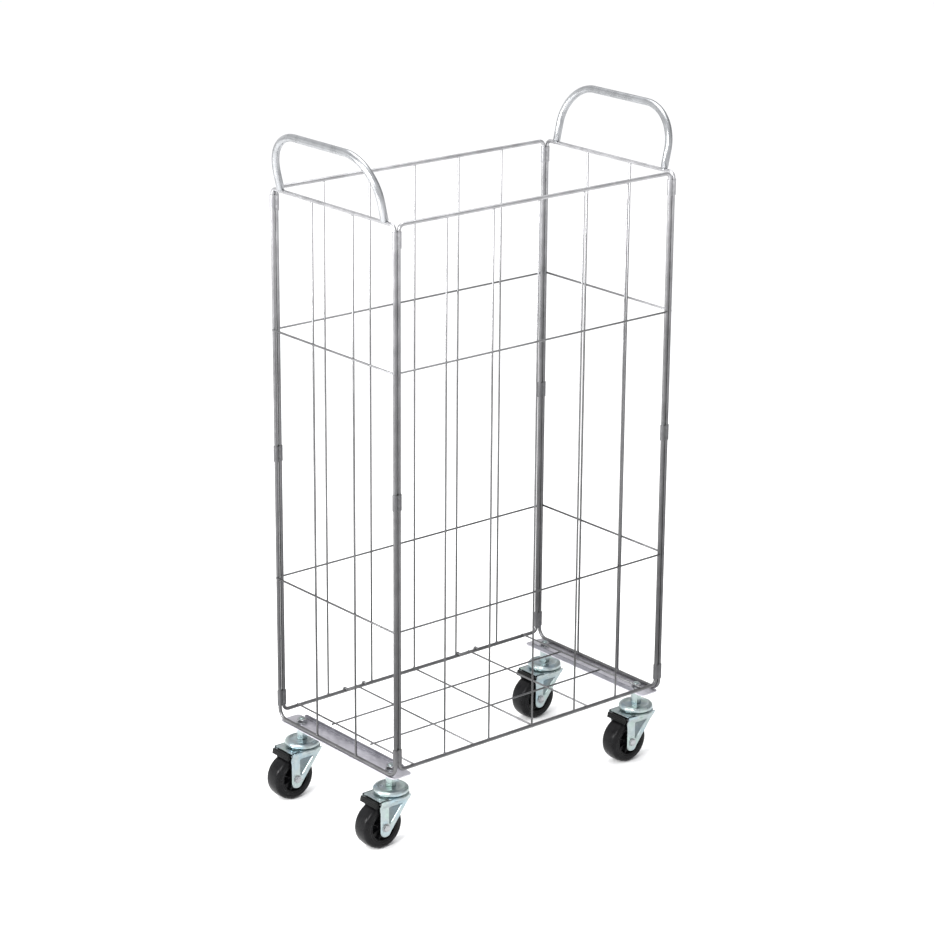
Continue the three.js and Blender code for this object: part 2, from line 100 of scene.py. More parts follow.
front_low, front_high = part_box("front_panel")
back_low, back_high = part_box("back_panel")
side_low, side_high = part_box("left_side_frame")
post_left = front_low.x + ROD_R
post_right = front_high.x - ROD_R
plane_front = front_high.y - ROD_R
plane_back = back_low.y + ROD_R
rail_low = front_low.z + ROD_R
rail_top = front_high.z - ROD_R
side_rail = side_low.z + ROD_R
depth = plane_back - plane_front
middle_x = (post_left + post_right) / 2
middle_y = (plane_front + plane_back) / 2
CORNERS = ("front_left", "front_right", "back_left", "back_right")


def half_width(node_name):
    """Half of a CAD node's width across the cart, in mm."""
    low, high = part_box(node_name)
    return (high.y - low.y) / 2 / MM


# ---- building a mesh: rows of points joined by quads ----
class Form:
    """The points, faces and UVs of one piece. UVs are in metres: round, then along."""

    def __init__(self):
        self.points = []
        self.faces = []
        self.uvs = []
        # per point share of painted shade, for the pressed hollows of a fork leg
        self.recess_shade = {}

    def grid(self, rows, closed_round=True, closed_along=False, caps=True):
        """Joins rows that have equal counts. caps fills the first and last row with one face each."""
        base = len(self.points)
        count = len(rows[0])
        for row in rows:
            self.points.extend(row)
        along = [0.0]
        for before, after in zip(rows, rows[1:] + rows[:1]):
            along.append(along[-1] + (before[0] - after[0]).length)
        step = max((rows[len(rows) // 2][0] - rows[len(rows) // 2][1]).length, 1e-6)
        for r in range(len(rows) if closed_along else len(rows) - 1):
            after = (r + 1) % len(rows)
            for c in range(count if closed_round else count - 1):
                right = (c + 1) % count
                self.faces.append((
                    base + r * count + c,
                    base + r * count + right,
                    base + after * count + right,
                    base + after * count + c,
                ))
                u, v = c * step, along[r]
                w = along[r + 1]
                self.uvs.append(((u, v), (u + step, v), (u + step, w), (u, w)))
        if caps and closed_round and not closed_along:
            for r in (0, len(rows) - 1):
                face = tuple(base + r * count + c for c in range(count))
                self.faces.append(face)
                self.uvs.append(tuple((0.0, along[r]) for _ in face))

    def mesh(self, name, sharp_angle):
        data = bpy.data.meshes.new(name)
        data.from_pydata(self.points, [], self.faces)
        layer = data.uv_layers.new(name="metres")
        layer.data.foreach_set("uv", [value for face in self.uvs for uv in face for value in uv])
        work = bmesh.new()
        work.from_mesh(data)
        bmesh.ops.recalc_face_normals(work, faces=work.faces)
        work.to_mesh(data)
        work.free()
        # the painted shade share goes on the mesh as a point attribute for the caster zinc
        shares = [self.recess_shade.get(index, 0.0) for index in range(len(self.points))]
        data.attributes.new("recess_shade", "FLOAT", "POINT").data.foreach_set("value", shares)
        data.shade_smooth()
        data.set_sharp_from_angle(angle=math.radians(sharp_angle))
        return data


def piece(name, form, material, body, replaced=(), sharp_angle=38):
    """Makes one object from a form, gives it its finish and lets it ride its body."""
    data = form.mesh(name, sharp_angle)
    data.materials.append(material)
    made = bpy.data.objects.new(name, data)
    bpy.context.scene.collection.objects.link(made)
    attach(made, body)
    if replaced:
        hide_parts(*replaced)
    return made


def disc_row(centre, across, up, radius, sides):
    row = []
    for i in range(sides):
        angle = 2 * math.pi * i / sides
        row.append(centre + across * (radius * math.cos(angle)) + up * (radius * math.sin(angle)))
    return row


def tube(form, path, radius, sides=16, closed=False):
    """A round rod along a path, with softly rounded ends where it isn't closed."""
    count = len(path)
    tangents = []
    for i, point in enumerate(path):
        before = path[i - 1] if closed or i else path[0]
        after = path[(i + 1) % count] if closed or i < count - 1 else path[-1]
        tangents.append((after - before).normalized())
    across = tangents[0].orthogonal().normalized()
    rows = []
    for i, point in enumerate(path):
        if i:
            across = tangents[i - 1].rotation_difference(tangents[i]) @ across
        up = tangents[i].cross(across)
        rows.append(disc_row(point, across, up, radius, sides))
    if not closed:
        start_up = tangents[0].cross(tangents[0].orthogonal().normalized())
        start_across = tangents[0].orthogonal().normalized()
        end_up = tangents[-1].cross(across)
        for share, reach in ((0.9, 0.14), (0.68, 0.24)):
            out, ring_r = radius * reach, radius * share
            first, last = path[0] - tangents[0] * out, path[-1] + tangents[-1] * out
            rows.insert(0, disc_row(first, start_across, start_up, ring_r, sides))
            rows.append(disc_row(last, across, end_up, ring_r, sides))
    form.grid(rows, closed_along=closed)


def arc_at(before, corner, after, radius, steps):
    """Points of a round bend of that radius at a corner."""
    into = (corner - before).normalized()
    out = (after - corner).normalized()
    turn = into.angle(out)
    start = corner - into * (radius * math.tan(turn / 2))
    side = (out - into * out.dot(into)).normalized()
    points = []
    for i in range(steps + 1):
        angle = turn * i / steps
        points.append(start + into * (radius * math.sin(angle)) + side * (radius * (1 - math.cos(angle))))
    return points


def loop_path(corners, radii, steps=10):
    path = []
    for i, corner in enumerate(corners):
        path += arc_at(corners[i - 1], corner, corners[(i + 1) % len(corners)], radii[i], steps)
    return path


def nugget(form, centre, size):
    """A smooth weld nugget: a slightly uneven ellipsoid."""
    rows = []
    for i in range(7):
        tilt = math.pi * (0.04 + 0.92 * i / 6) - math.pi / 2
        row = []
        for j in range(12):
            angle = 2 * math.pi * j / 12
            flat = math.cos(tilt)
            way = Vector((flat * math.cos(angle), flat * math.sin(angle), math.sin(tilt)))
            swell = 1 + 0.12 * noise.noise((centre + way * 0.01) * 300)
            row.append(centre + Vector((way.x * size[0], way.y * size[1], way.z * size[2])) * swell)
        rows.append(row)
    form.grid(rows)


def turned(form, profile, place, segments=48, closed=False):
    """A solid of revolution about the local Z axis from (radius, height) points in mm."""
    rows = []
    for radius, height in profile:
        row = []
        for i in range(segments):
            angle = 2 * math.pi * i / segments
            r = max(radius, 0.01) * MM
            row.append(place @ Vector((r * math.cos(angle), r * math.sin(angle), height * MM)))
        rows.append(row)
    form.grid(rows, closed_along=closed)


def hexagon(form, flats, low, high, place):
    """A hexagon head or nut with the cone-cut corners that a real one has. Sizes in mm."""
    rows = []
    cut = 0.5
    levels = [low, low + 0.4, low + 0.9, low + 1.5, high - 1.5, high - 0.9, high - 0.4, high]
    for level in levels:
        from_end = min(level - low, high - level)
        cone = flats / 2 * 0.955 + from_end / cut
        row = []
        for i in range(60):
            angle = 2 * math.pi * i / 60
            inside = (angle % (math.pi / 3)) - math.pi / 6
            r = min(flats / 2 / math.cos(inside), cone) * MM
            row.append(place @ Vector((r * math.cos(angle), r * math.sin(angle), level * MM)))
        rows.append(row)
    form.grid(rows)


def thread(form, radius, low, high, place):
    """A cut screw thread about the local Z axis. Metres."""
    rows = []
    steps = max(int((high - low) / (THREAD_PITCH / 6)), 4)
    for i in range(steps + 1):
        level = low + (high - low) * i / steps
        row = []
        for j in range(36):
            share = j / 36
            wave = abs(((level / THREAD_PITCH - share) % 1) - 0.5) * 2
            near_end = min(1.0, (high - level) / (0.6 * THREAD_PITCH) + 0.35)
            r = (radius - 0.9 * MM * (1 - wave)) * (0.86 + 0.14 * near_end)
            angle = 2 * math.pi * share
            row.append(place @ Vector((r * math.cos(angle), r * math.sin(angle), level)))
        rows.append(row)
    form.grid(rows)


def inset(outline, distance):
    """The outline (x, y pairs, anticlockwise) moved inwards by that distance."""
    moved = []
    for i, point in enumerate(outline):
        before = Vector(point) - Vector(outline[i - 1])
        after = Vector(outline[(i + 1) % len(outline)]) - Vector(point)
        a = Vector((-before.y, before.x)).normalized()
        b = Vector((-after.y, after.x)).normalized()
        moved.append(tuple(Vector(point) + (a + b) * (distance / (1 + a.dot(b)))))
    return moved


def slab(form, outline, low, high, bevel, place=Matrix.Identity(4)):
    """A plate with that outline in local XY and rounded edges."""
    rows = []
    steps = 3
    for i in range(steps + 1):
        angle = math.pi / 2 * i / steps
        rows.append((bevel * (1 - math.sin(angle)), low + bevel * (1 - math.cos(angle))))
    for i in range(steps + 1):
        angle = math.pi / 2 * i / steps
        rows.append((bevel * (1 - math.cos(angle)), high - bevel * (1 - math.sin(angle))))
    form.grid([
        [place @ Vector((x, y, level)) for x, y in inset(outline, amount)]
        for amount, level in rows
    ])


def round_corners(corners, radii, steps=8):
    """An outline of (x, y) pairs with rounded corners, from corners given anticlockwise."""
    points = [Vector((x, y, 0)) for x, y in corners]
    path = loop_path(points, radii, steps)
    return [(point.x, point.y) for point in path]


def stadium(length, width, steps=12):
    half = max((length - width) / 2, 0.01 * MM)
    outline = []
    for side in (1, -1):
        for i in range(steps + 1):
            angle = math.radians(-90 + 180 * i / steps)
            outline.append((side * (half + width / 2 * math.cos(angle)), side * width / 2 * math.sin(angle)))
    return outline


def smooth(share):
    share = min(max(share, 0.0), 1.0)
    return share * share * (3 - 2 * share)


# ---- materials ----
def node(tree, kind, **values):
    made = tree.nodes.new(kind)
    for key, value in values.items():
        if key in made.inputs:
            made.inputs[key].default_value = value
        else:
            setattr(made, key, value)
    return made


def ramp(tree, source, stops):
    made = tree.nodes.new("ShaderNodeValToRGB")
    made.color_ramp.elements[0].position = stops[0][0]
    made.color_ramp.elements[0].color = (*stops[0][1], 1)
    made.color_ramp.elements[1].position = stops[-1][0]
    made.color_ramp.elements[1].color = (*stops[-1][1], 1)
    for position, colour in stops[1:-1]:
        made.color_ramp.elements.new(position).color = (*colour, 1)
    tree.links.new(source, made.inputs["Fac"])
    return made.outputs["Color"]


def shades(colour, low, high):
    return [tuple(min(c * k, 1.0) for c in colour) for k in (low, high)]


def scaled(tree, source, low, high):
    made = node(tree, "ShaderNodeMapRange", **{"To Min": low, "To Max": high})
    tree.links.new(source, made.inputs["Value"])
    return made.outputs["Result"]


def mottle(tree, coordinates, scale, detail=3.0, stretch=None):
    """Noise over the surface, in object metres or along the UVs."""
    source = coordinates
    if stretch:
        mapping = node(tree, "ShaderNodeMapping")
        mapping.inputs["Scale"].default_value = stretch
        tree.links.new(source, mapping.inputs["Vector"])
        source = mapping.outputs["Vector"]
    made = node(tree, "ShaderNodeTexNoise", **{"Scale": scale, "Detail": detail, "Roughness": 0.6})
    tree.links.new(source, made.inputs["Vector"])
    return made.outputs["Fac"]


def bump(tree, height, distance, strength, normal=None):
    made = node(tree, "ShaderNodeBump", **{"Strength": strength, "Distance": distance})
    tree.links.new(height, made.inputs["Height"])
    if normal:
        tree.links.new(normal, made.inputs["Normal"])
    return made.outputs["Normal"]


def fresh_material(name):
    made = bpy.data.materials.new(name)
    made.use_nodes = True
    tree = made.node_tree
    shader = tree.nodes["Principled BSDF"]
    coordinates = node(tree, "ShaderNodeTexCoord")
    return made, tree, shader, coordinates.outputs


def mixed(tree, factor, first, second, blend="MIX"):
    made = tree.nodes.new("ShaderNodeMix")
    made.data_type = "RGBA"
    made.blend_type = blend
    if isinstance(factor, float):
        made.inputs["Factor"].default_value = factor
    else:
        tree.links.new(factor, made.inputs["Factor"])
    tree.links.new(first, made.inputs["A"])
    tree.links.new(second, made.inputs["B"])
    return made.outputs["Result"]


def painted_height_shade(tree, at, colour, shade_by_height):
    """Painted shade: the colour darkened by a share that changes with height, given as (height, share)
    pairs.
    """
    split = node(tree, "ShaderNodeSeparateXYZ")
    tree.links.new(at["Object"], split.inputs["Vector"])
    height = node(tree, "ShaderNodeMapRange", **{"From Min": shade_by_height[0][0], "From Max": shade_by_height[-1][0]})
    tree.links.new(split.outputs["Z"], height.inputs["Value"])
    span = shade_by_height[-1][0] - shade_by_height[0][0]
    stops = [((z - shade_by_height[0][0]) / span, (share, share, share)) for z, share in shade_by_height]
    return mixed(tree, 1.0, colour, ramp(tree, height.outputs["Result"], stops), "MULTIPLY")


def zinc_rod(name, colour, rough, shade_by_height=()):
    """Zinc plate over drawn steel: draw lines along the rod, cloudy plating, duller patches, and painted
    shade by height if a table is given.
    """
    made, tree, shader, at = fresh_material(name)
    cloud = mottle(tree, at["Object"], 28.0)
    fine = mottle(tree, at["Object"], 420.0, 2.0)
    lines = mottle(tree, at["UV"], 9.0, 3.0, (260.0, 6.0, 1.0))
    dark, light = shades(colour, 0.78, 1.12)
    tint = ramp(tree, cloud, [(0.3, dark), (0.7, light)])
    grain_dark, grain_light = (0.86, 0.86, 0.87), (1.0, 1.0, 1.0)
    grain = ramp(tree, lines, [(0.35, grain_dark), (0.62, grain_light)])
    surface = mixed(tree, 1.0, tint, grain, "MULTIPLY")
    # painted shade: the colour is darkened by height
    surface = painted_height_shade(tree, at, surface, shade_by_height) if shade_by_height else surface
    tree.links.new(surface, shader.inputs["Base Color"])
    tree.links.new(scaled(tree, cloud, rough - 0.07, rough + 0.12), shader.inputs["Roughness"])
    drawn = bump(tree, lines, 0.00008, 0.35)
    tree.links.new(bump(tree, fine, 0.00006, 0.25, drawn), shader.inputs["Normal"])
    shader.inputs["Metallic"].default_value = 1.0
    return made


def galvanised(name, colour, shade_by_height=()):
    """Zinc sheet with a faint spangle and handling marks, and painted shade by height if a table is given.
    """
    made, tree, shader, at = fresh_material(name)
    cells = node(tree, "ShaderNodeTexVoronoi", **{"Scale": 170.0, "Randomness": 1.0})
    tree.links.new(at["Object"], cells.inputs["Vector"])
    cloud = mottle(tree, at["Object"], 22.0)
    fine = mottle(tree, at["Object"], 600.0, 2.0)
    dark, light = shades(colour, 0.82, 1.1)
    tint = ramp(tree, cloud, [(0.3, dark), (0.72, light)])
    spangle = ramp(tree, cells.outputs["Color"], [(0.1, (0.88, 0.88, 0.9)), (0.9, (1.0, 1.0, 1.0))])
    surface = mixed(tree, 1.0, tint, spangle, "MULTIPLY")
    # painted shade: the colour is darkened by height
    surface = painted_height_shade(tree, at, surface, shade_by_height) if shade_by_height else surface
    tree.links.new(surface, shader.inputs["Base Color"])
    tree.links.new(scaled(tree, cells.outputs["Color"], 0.34, 0.5), shader.inputs["Roughness"])
    tree.links.new(bump(tree, fine, 0.0001, 0.3), shader.inputs["Normal"])
    shader.inputs["Metallic"].default_value = 0.92
    return made


def caster_zinc(name, colour):
    """Passivated zinc on pressings: a drifting blue to green cast, with painted shade in the pressed
    hollows.
    """
    made, tree, shader, at = fresh_material(name)
    drift = mottle(tree, at["Object"], 34.0, 2.0)
    cloud = mottle(tree, at["Object"], 90.0)
    fine = mottle(tree, at["Object"], 700.0, 2.0)
    bluish = tuple(c * k for c, k in zip(colour, (0.86, 0.98, 1.06)))
    greenish = tuple(c * k for c, k in zip(colour, (0.98, 1.08, 1.0)))
    tint = ramp(tree, drift, [(0.3, bluish), (0.52, colour), (0.74, greenish)])
    worn = ramp(tree, cloud, [(0.36, (0.84, 0.85, 0.86)), (0.66, (1.0, 1.0, 1.0))])
    # painted shade: the pressed hollows are darkened to about 40 percent
    shade_share = node(tree, "ShaderNodeAttribute", attribute_name="recess_shade").outputs["Fac"]
    shade = ramp(tree, shade_share, [(0.0, (1.0, 1.0, 1.0)), (1.0, (0.4, 0.42, 0.44))])
    surface = mixed(tree, 1.0, tint, worn, "MULTIPLY")
    tree.links.new(mixed(tree, 1.0, surface, shade, "MULTIPLY"), shader.inputs["Base Color"])
    tree.links.new(scaled(tree, cloud, 0.2, 0.4), shader.inputs["Roughness"])
    tree.links.new(bump(tree, fine, 0.00008, 0.25), shader.inputs["Normal"])
    shader.inputs["Metallic"].default_value = 1.0
    return made


def black_gloss(name, colour, rough, dust, grain):
    """Black moulding, rubber or enamel: low sheen changes, fine grain, a little dust."""
    made, tree, shader, at = fresh_material(name)
    cloud = mottle(tree, at["Object"], 60.0)
    fine = mottle(tree, at["Object"], 900.0, 2.0)
    dusty = tuple(min(c + dust, 1.0) for c in colour)
    tree.links.new(ramp(tree, cloud, [(0.42, colour), (0.78, dusty)]), shader.inputs["Base Color"])
    tree.links.new(scaled(tree, cloud, rough - 0.06, rough + 0.14), shader.inputs["Roughness"])
    tree.links.new(bump(tree, fine, 0.0001, grain), shader.inputs["Normal"])
    shader.inputs["Specular IOR Level"].default_value = 0.12
    return made


# Painted shade by height: the zinc's colour is darkest near the floor and full only at the top.
HEIGHT_SHADE = (
    (0.12, 0.36), (0.19, 0.31), (0.25, 0.2), (0.33, 0.19), (0.55, 0.26), (0.95, 0.38),
    (1.15, 0.58), (1.28, 0.86), (1.36, 1.0),
)
WIRE = zinc_rod("zinc_wire", (0.48, 0.48, 0.49), 0.34, HEIGHT_SHADE)
BRIGHT = zinc_rod("bright_zinc", (0.4, 0.41, 0.42), 0.26)
SHEET = galvanised("galvanised_sheet", (0.56, 0.55, 0.59))
# Painted shade: the same galvanised zinc as the sheet in a far darker colour, for the shaded inner lip of
# each base plate.
SHADED_FLANGE = galvanised("galvanised_flange_painted_shade", (0.2, 0.2, 0.22))
STRAP = galvanised("galvanised_strap", (0.43, 0.43, 0.44), HEIGHT_SHADE)
CASTER = caster_zinc("caster_zinc", (0.38, 0.43, 0.43))
TREAD = black_gloss("black_tread", (0.0035, 0.0035, 0.004), 0.25, 0.004, 0.24)
CENTRE = black_gloss("black_wheel_centre", (0.003, 0.003, 0.0035), 0.22, 0.004, 0.1)
ENAMEL = black_gloss("black_enamel", (0.002, 0.0025, 0.0025), 0.3, 0.003, 0.15)


# ---- welded wire panels ----
def ring_of_rod(form, point, low, high, ends, bends):
    """The bent outer rod of a panel. point(t, z) gives a place at t across it."""
    left, right = ends
    corners = [point(left, low), point(right, low), point(right, high), point(left, high)]
    tube(form, loop_path(corners, [bends[0], bends[0], bends[1], bends[1]]), ROD_R, 20, closed=True)
    butt_weld = point((left + right) / 2, low)
    nugget(form, butt_weld, (ROD_R * 1.12,) * 3)


def wire_panel(name, point, ends, rails, bays, wire_r, out, bends):
    """A ring of rod with upright wires between its rails and level wires welded outside them."""
    form = Form()
    low, high = rails
    left, right = ends
    ring_of_rod(form, point, low, high, ends, bends)
    uprights = [left + (right - left) * i / bays for i in range(1, bays)]
    for t in uprights:
        tube(form, [point(t, low + ROD_R * 0.6), point(t, high - ROD_R * 0.6)], wire_r, 12)
        for level, way in ((low, 1), (high, -1)):
            spot = point(t, level + way * (ROD_R + wire_r * 0.1))
            nugget(form, spot, (wire_r * 1.5, wire_r * 1.5, wire_r * 0.9))
    for height in CROSS_WIRE_HEIGHTS:
        level = rail_low + height
        shift = out * WIRE_OFFSET
        tube(form, [point(left, level) + shift, point(right, level) + shift], wire_r, 12)
        for t in uprights:
            nugget(form, point(t, level) + shift * 0.5, (wire_r * 1.25,) * 3)
        for t in ends:
            nugget(form, point(t, level) + shift * 0.7, (wire_r * 1.4,) * 3)
    return piece(name + "_wires", form, WIRE, "frame", [name])


def panels():
    for name, plane, way in (("front_panel", plane_front, -1), ("back_panel", plane_back, 1)):
        wire_panel(
            name,
            lambda t, z, plane=plane: Vector((t, plane, z)),
            (post_left, post_right), (rail_low, rail_top), PANEL_BAYS, PANEL_WIRE_R,
            Vector((0, way, 0)), (TOP_BEND_R, TOP_BEND_R),
        )
    for name, plane, way in (
        ("left_side_frame", post_left - SIDE_INSET, -1),
        ("right_side_frame", post_right + SIDE_INSET, 1),
    ):
        wire_panel(
            name,
            lambda t, z, plane=plane: Vector((plane, t, z)),
            (plane_front, plane_back), (side_rail, rail_top), SIDE_BAYS, SIDE_WIRE_R,
            Vector((way, 0, 0)), (SIDE_FOOT_BEND_R, TOP_BEND_R),
        )


# ---- corner clips: a strap closed round two posts, pinched and spot welded between them ----
def strap_row(centre, radius, z, pinch):
    half = SIDE_INSET / 2
    flat = 8
    outline = []
    for side in (1, -1):
        for i in range(13):
            angle = math.radians(-90 + 180 * i / 12)
            outline.append((side * (half + radius * math.cos(angle)), side * radius * math.sin(angle)))
        for i in range(1, flat):
            outline.append((side * half * (1 - 2 * i / flat), side * radius))
    row = []
    for x, y in outline:
        waist = 1 - pinch * math.exp(-((x / (2.7 * MM)) ** 2))
        row.append(centre + Vector((x, y * waist, z)))
    return row


def corner_clip(node_name):
    low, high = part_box(node_name)
    centre = (low + high) / 2
    half = (high.z - low.z) / 2
    inner = ROD_R + FIT_GAP * 0.4
    outer = inner + CLIP_THICKNESS
    edge = 0.45 * MM
    outside = []
    inside = []
    steps = 32
    for i in range(steps + 1):
        z = -half + edge + (2 * half - 2 * edge) * i / steps
        dimple = sum(math.exp(-(((z - s * CLIP_DIMPLE) / (2.6 * MM)) ** 2)) for s in (-1, 1))
        pinch = 0.34 + 0.24 * dimple
        outside.append(strap_row(centre, outer, z, pinch))
        inside.append(strap_row(centre, inner, z, pinch * 0.9))
    end_pinch = 0.34
    top = [strap_row(centre, radius, half, end_pinch) for radius in (outer - edge, inner + edge)]
    bottom = [strap_row(centre, radius, -half, end_pinch) for radius in (inner + edge, outer - edge)]
    form = Form()
    form.grid(outside + top + inside[::-1] + bottom, closed_along=True)
    return piece(node_name + "_strap", form, STRAP, "frame", [node_name], 50)


# ---- handles ----
def handle(node_name, way):
    """A bent tube that leans out over the cart's end, its legs welded on the side rail."""
    low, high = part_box(node_name)
    rail = post_right + SIDE_INSET if way > 0 else post_left - SIDE_INSET
    front, back = low.y + HANDLE_HALF, high.y - HANDLE_HALF

    def at(y, reach):
        out = Vector((way * math.sin(HANDLE_LEAN), 0, math.cos(HANDLE_LEAN)))
        return Vector((rail, y, rail_top)) + out * reach

    foot = ROD_R + 1.2 * MM
    corners = [at(front, foot), at(front, HANDLE_RISE), at(back, HANDLE_RISE), at(back, foot)]
    path = [corners[0]]
    for i in (1, 2):
        path += arc_at(corners[i - 1], corners[i], corners[i + 1], HANDLE_BEND_R, 24)
    path.append(corners[3])
    form = Form()
    tube(form, path, HANDLE_R, 28)
    for y in (front, back):
        for side in (-1, 1):
            seat = Vector((rail + side * 3.6 * MM, y, rail_top + 2.6 * MM))
            nugget(form, seat, (2.4 * MM, 6 * MM, 2.6 * MM))
    return piece(node_name + "_tube", form, BRIGHT, "frame", [node_name])


# ---- base plates ----
def base_plate(node_name, way):
    low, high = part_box(node_name)
    bottom = low.z
    r = PLATE_CORNER_R
    outline = round_corners(
        [(low.x, low.y), (high.x, low.y), (high.x, high.y), (low.x, high.y)], [r] * 4)
    form = Form()
    slab(form, outline, bottom, bottom + PLATE_THICKNESS, 0.9 * MM)
    piece(node_name + "_pressing", form, SHEET, "frame", [node_name])
    form = Form()
    inner = low.x if way > 0 else high.x
    thick = FLANGE_THICKNESS
    bend = 3.2 * MM
    section = [
        (0, 0), (thick + bend, 0), (thick + bend, PLATE_THICKNESS),
        (thick, PLATE_THICKNESS + bend), (thick, high.z - bottom), (0, high.z - bottom),
    ]
    section = round_corners(section, [bend * 0.9, 0.4 * MM, bend, bend, 1.2 * MM, 1.2 * MM], 5)
    start = low.y + FLANGE_END_GAP - 3 * MM
    end = high.y - FLANGE_END_GAP + 3 * MM
    rows = []
    stations = (
        (start, 0.5), (start + 1 * MM, 0.8), (start + 6 * MM, 1),
        (end - 6 * MM, 1), (end - 1 * MM, 0.8), (end, 0.5),
    )
    for y, shrink in stations:
        rows.append([
            Vector((inner + way * t, y, bottom + min(h, h * shrink + 0.4 * MM))) for t, h in section
        ])
    form.grid(rows)
    # the flange's darker zinc colour is painted shade
    piece(node_name + "_flange", form, SHADED_FLANGE, "frame")


# ---- floor grid ----
def floor_grid():
    cross_z = rail_low + ROD_R + FIT_GAP + PANEL_WIRE_R
    long_z = cross_z - LONG_WIRE_DROP
    xs = [middle_x + GRID_SHIFT + i * GRID_PITCH for i in range(-2, 3)]
    form = Form()
    for x in xs:
        ends = [Vector((x, y, cross_z)) for y in (plane_front - GRID_OVERHANG, plane_back - ROD_R)]
        tube(form, ends, PANEL_WIRE_R, 12)
    for y in (middle_y - depth / 6, middle_y + depth / 6):
        ends = [Vector((x, y, long_z)) for x in (xs[0] - GRID_OVERHANG, xs[-1] + GRID_OVERHANG)]
        tube(form, ends, PANEL_WIRE_R, 12)
        for x in xs:
            nugget(form, Vector((x, y, (cross_z + long_z) / 2)), (2.5 * MM, 2.5 * MM, 2.2 * MM))
    for x in (xs[1], xs[3]):
        bar = []
        for side in (-1, 1):
            path = []
            for i in range(25):
                angle = math.radians(HOOK_START + HOOK_SWEEP * i / 24)
                reach, rise = HOOK_R * math.cos(angle), HOOK_R * math.sin(angle)
                path.append(Vector((x + side * HOOK_HALF_SPACING, plane_back + reach, rail_low + rise)))
            tube(form, path, HOOK_WIRE_R, 12)
            bar.append(path[-1])
        tube(form, bar, HOOK_WIRE_R, 12)
        spot = Vector((x, bar[0].y, (bar[0].z + cross_z) / 2))
        nugget(form, spot, (3.2 * MM, 2.8 * MM, 2.8 * MM))
    piece("floor_grid_wires", form, WIRE, "floor_grid", ["floor_grid"])


# ---- casters ----
def stem(name, at):
    """The stem, its hexagon collar under the plate and its nut on top of it."""
    low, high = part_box(name + "_stem")
    nut_low, nut_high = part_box(name + "_stem_nut")
    place = Matrix.Translation((at.x, at.y, 0))
    form = Form()
    plate_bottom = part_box("left_base_plate")[0].z
    hexagon(form, COLLAR_FLATS, low.z / MM, plate_bottom / MM - WASHER, place)
    turned(
        form, [(0, 0), (12.4, 0), (12.8, 0.3), (12.8, 1.1), (12.5, 1.3), (0, 1.3)],
        place @ Matrix.Translation((0, 0, plate_bottom - WASHER * MM)),
    )
    thread(form, STEM_R, plate_bottom - 2 * MM, high.z, place)
    piece(name + "_threaded_stem", form, CASTER, "frame", [name + "_stem"])
    form = Form()
    rim = [(6.2, 0), (11.6, 0), (12, 0.3), (12, WASHER - 0.3), (11.6, WASHER), (6.2, WASHER)]
    turned(form, rim, place @ Matrix.Translation((0, 0, nut_low.z)), closed=True)
    hexagon(form, NUT_FLATS, nut_low.z / MM + WASHER, nut_high.z / MM, place)
    piece(name + "_nut_and_washer", form, BRIGHT, "frame", [name + "_stem_nut"])


CAP_PROFILE = [
    (0, 0), (35, 0), (35.8, 0.3), (36.4, 1), (37.4, 1.4), (37.9, 2.2), (38, 4), (37.9, 6),
    (37.3, 8), (36, 9.8), (34.2, 11), (32, 11.8), (29.6, 12.2), (28.4, 12.2), (27.4, 11.6),
    (25.6, 11), (23.4, 10.8), (20, 10.9), (17.4, 11.3), (16, 12), (14.6, 12.3), (0, 12.3),
]
RACE_PROFILE = [(0, -1), (35, -1), (35.6, 0.2), (34.4, 0.8), (33.2, 1.2), (32.6, 1.8), (31.6, 2), (0, 2)]
CROWN_TOP = 113.4             # mm
CROWN_EDGE = (                # (height, how far in from the outline), from below, in mm
    (104, 5.5), (103.8, 4.4), (104.2, 3.4), (105.6, 2), (107.2, 0.9), (108.8, 0.2), (110.2, 0),
    (111.4, 0.4), (112.4, 1.2), (113.1, 2.4), (CROWN_TOP, 4),
)
LEG_FOOT = 43                 # height of the centre of a leg's round end, in mm
LEG_END_R = 14
AXLE_X = -34                  # from the stem's axis
LEG_TURN = 38.2               # where the round end runs into the straight front edge
LEG_TURN_X = -20.84
LEG_SHOULDER = 96             # where the front edge steepens under the crown
LEG_SHOULDER_X = 24


def swivel_cap(name, at):
    form = Form()
    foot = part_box(name + "_swivel_cap")[0].z
    turned(form, CAP_PROFILE, Matrix.Translation((at.x, at.y, foot)), 64)
    piece(name + "_cap", form, CASTER, "frame", [name + "_swivel_cap"])


def leg_edges(z):
    """The back and front edge of a fork leg at a height, in metres from the stem's axis."""
    level = z / MM
    round_end = math.sqrt(max(LEG_END_R ** 2 - (level - LEG_FOOT) ** 2, 0))
    back = AXLE_X - round_end
    if level > LEG_FOOT:
        back = AXLE_X - LEG_END_R - 2 * smooth((level - 84) / 14)
    front = AXLE_X + round_end
    if level > LEG_TURN:
        slope = (LEG_SHOULDER_X - LEG_TURN_X) / (LEG_SHOULDER - LEG_TURN)
        front = LEG_TURN_X + (level - LEG_TURN) * slope
    if level > 90:
        front = min(front, LEG_SHOULDER_X + (level - LEG_SHOULDER) * 0.28)
    return back * MM, front * MM


RECESS_DEPTH = 2.6 * MM
RECESS_WALL = 3.2 * MM
RECESS_BACK = -27 * MM
RECESS_FOOT = 56 * MM
RECESS_HEAD = 95 * MM
RECESS_FRONT_AT_FOOT = -21 * MM
RECESS_FRONT_AT_HEAD = 12 * MM


